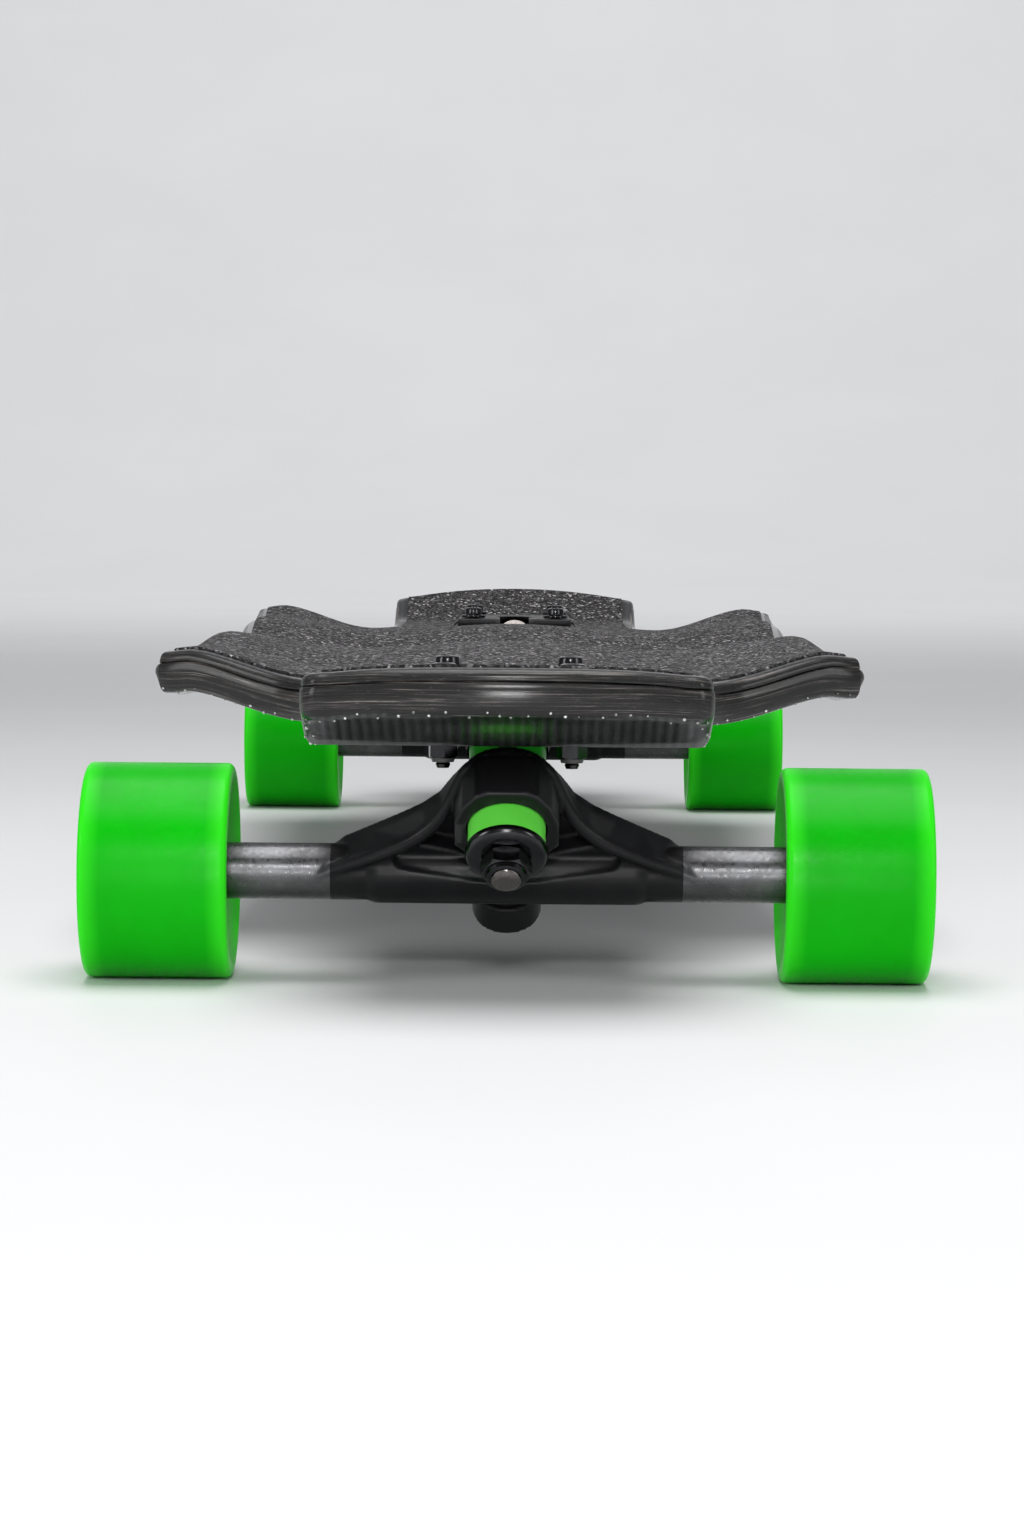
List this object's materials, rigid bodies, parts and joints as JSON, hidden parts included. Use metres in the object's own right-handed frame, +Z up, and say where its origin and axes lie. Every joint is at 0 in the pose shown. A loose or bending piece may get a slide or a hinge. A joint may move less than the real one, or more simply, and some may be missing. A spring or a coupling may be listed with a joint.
{
  "type": "skateboard",
  "caption": "Drop-through longboard skateboard with a concave laminated deck, grip-taped top, reverse-kingpin trucks that lean to steer, and wide free-spinning urethane wheels.",
  "frame": {"origin": "on the ground under the middle of the board, halfway between the axles", "axes": "+Z up, +Y from nose to tail, +X to the rider's left when facing the nose"},
  "size_m": [0.274, 0.94, 0.1117],
  "materials": {
    "laminate": "clear-coated black fibre laminate, glossy",
    "grit": "black abrasive grit with bright grains",
    "casting": "satin black powder coat on cast metal",
    "steel": "bright plated steel",
    "black_steel": "dark nickel-plated steel, glossy",
    "wheel_urethane": "bright green cast urethane, satin",
    "bushing_urethane": "light green cast urethane, satin",
    "cup_plastic": "black moulded plastic",
    "core_plastic": "black moulded plastic"
  },
  "bodies": {
    "deck": {"deck": "laminate", "grip_tape": "grit", "front_baseplate": "casting", "front_pivot_cup": "cup_plastic", "front_kingpin": "black_steel", "front_kingpin_nut": "black_steel", "front_board_bushing": "bushing_urethane", "front_road_bushing": "bushing_urethane", "front_board_washer": "black_steel", "front_road_washer": "black_steel", "front_mount_bolt_1": "steel", "front_mount_bolt_2": "steel", "front_mount_bolt_3": "steel", "front_mount_bolt_4": "steel", "rear_baseplate": "casting", "rear_pivot_cup": "cup_plastic", "rear_kingpin": "black_steel", "rear_kingpin_nut": "black_steel", "rear_board_bushing": "bushing_urethane", "rear_road_bushing": "bushing_urethane", "rear_board_washer": "black_steel", "rear_road_washer": "black_steel", "rear_mount_bolt_1": "steel", "rear_mount_bolt_2": "steel", "rear_mount_bolt_3": "steel", "rear_mount_bolt_4": "steel"},
    "front_hanger": {"front_hanger": "casting", "front_axle": "steel", "front_left_spacer": "steel", "front_left_axle_nut": "steel", "front_right_spacer": "steel", "front_right_axle_nut": "steel"},
    "front_left_wheel": {"front_left_tyre": "wheel_urethane", "front_left_core": "core_plastic", "front_left_inner_bearing": "steel", "front_left_outer_bearing": "steel"},
    "front_right_wheel": {"front_right_tyre": "wheel_urethane", "front_right_core": "core_plastic", "front_right_inner_bearing": "steel", "front_right_outer_bearing": "steel"},
    "rear_hanger": {"rear_hanger": "casting", "rear_axle": "steel", "rear_left_spacer": "steel", "rear_left_axle_nut": "steel", "rear_right_spacer": "steel", "rear_right_axle_nut": "steel"},
    "rear_left_wheel": {"rear_left_tyre": "wheel_urethane", "rear_left_core": "core_plastic", "rear_left_inner_bearing": "steel", "rear_left_outer_bearing": "steel"},
    "rear_right_wheel": {"rear_right_tyre": "wheel_urethane", "rear_right_core": "core_plastic", "rear_right_inner_bearing": "steel", "rear_right_outer_bearing": "steel"}
  },
  "joints": [
    {"name": "front_steer", "type": "hinge", "parent": "deck", "child": "front_hanger", "pos_m": [0, -0.394, 0.06], "axis": [0, -0.7071, 0.7071], "range_deg": [-16, 16], "stiffness_Nm_per_rad": 40, "deforming": ["front_board_bushing", "front_road_bushing"]},
    {"name": "front_left_spin", "type": "hinge", "parent": "front_hanger", "child": "front_left_wheel", "pos_m": [0.113, -0.375, 0.035], "axis": [1, 0, 0], "continuous": true},
    {"name": "front_right_spin", "type": "hinge", "parent": "front_hanger", "child": "front_right_wheel", "pos_m": [-0.113, -0.375, 0.035], "axis": [1, 0, 0], "continuous": true},
    {"name": "rear_steer", "type": "hinge", "parent": "deck", "child": "rear_hanger", "pos_m": [0, 0.394, 0.06], "axis": [0, 0.7071, 0.7071], "range_deg": [-16, 16], "stiffness_Nm_per_rad": 40, "deforming": ["rear_board_bushing", "rear_road_bushing"]},
    {"name": "rear_left_spin", "type": "hinge", "parent": "rear_hanger", "child": "rear_left_wheel", "pos_m": [0.113, 0.375, 0.035], "axis": [1, 0, 0], "continuous": true},
    {"name": "rear_right_spin", "type": "hinge", "parent": "rear_hanger", "child": "rear_right_wheel", "pos_m": [-0.113, 0.375, 0.035], "axis": [1, 0, 0], "continuous": true}
  ]
}
